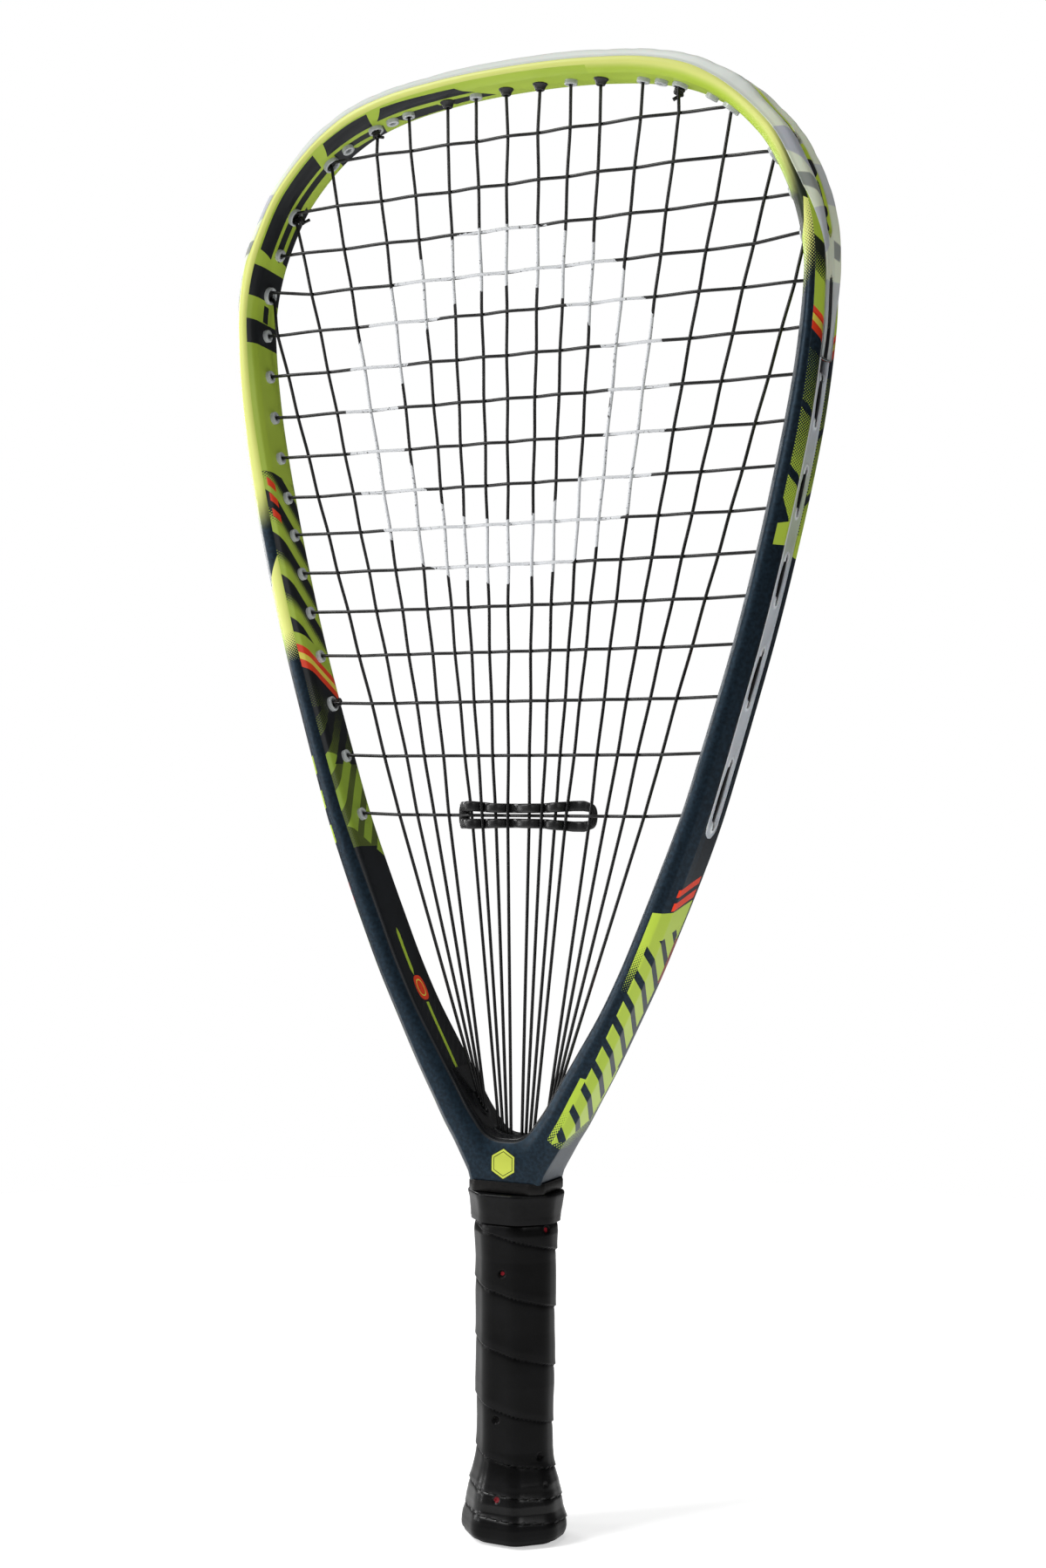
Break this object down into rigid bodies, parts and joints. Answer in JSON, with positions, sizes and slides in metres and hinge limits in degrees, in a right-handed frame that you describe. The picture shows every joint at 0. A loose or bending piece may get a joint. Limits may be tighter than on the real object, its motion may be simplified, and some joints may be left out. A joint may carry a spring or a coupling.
{
  "type": "racquetball racket",
  "caption": "Teardrop racket with a hollow composite frame, woven string bed, bumper guard, string damper and wrapped octagonal handle.",
  "frame": {"origin": "centre of the bounding box's bottom, which is the middle of the butt end", "axes": "+Z from the butt to the head, +Y from the front face of the string bed to its back, +X to the right seen from the front"},
  "size_m": [0.2484, 0.035, 0.559],
  "materials": {
    "frame_paint": "clear-coated metallic navy fading to lime green",
    "bumper": "translucent satin",
    "grommet_strip": "translucent satin",
    "black_plastic": "satin",
    "string": "satin",
    "damper_rubber": "satin",
    "handle_foam": "matt",
    "steel": "plain",
    "grip_underlay": "matt",
    "grip_rubber": "smooth tacky satin",
    "tape": "satin"
  },
  "bodies": {
    "root": {"frame": "frame_paint", "bumper_guard": "bumper", "left_grommet_strip": "grommet_strip", "right_grommet_strip": "grommet_strip", "flared_grommet_1": "black_plastic", "flared_grommet_2": "black_plastic", "flared_grommet_3": "black_plastic", "flared_grommet_4": "black_plastic", "throat_bridge": "black_plastic", "main_string": "string", "cross_string": "string", "string_damper": "damper_rubber", "handle_pallet_front": "handle_foam", "handle_pallet_back": "handle_foam", "butt_cap": "black_plastic", "tether_bar": "steel", "butt_cap_staple_left": "steel", "butt_cap_staple_right": "steel", "grip_underlay": "grip_underlay", "grip_wrap": "grip_rubber", "grip_collar": "grip_rubber", "finishing_tape": "tape"}
  },
  "joints": []
}
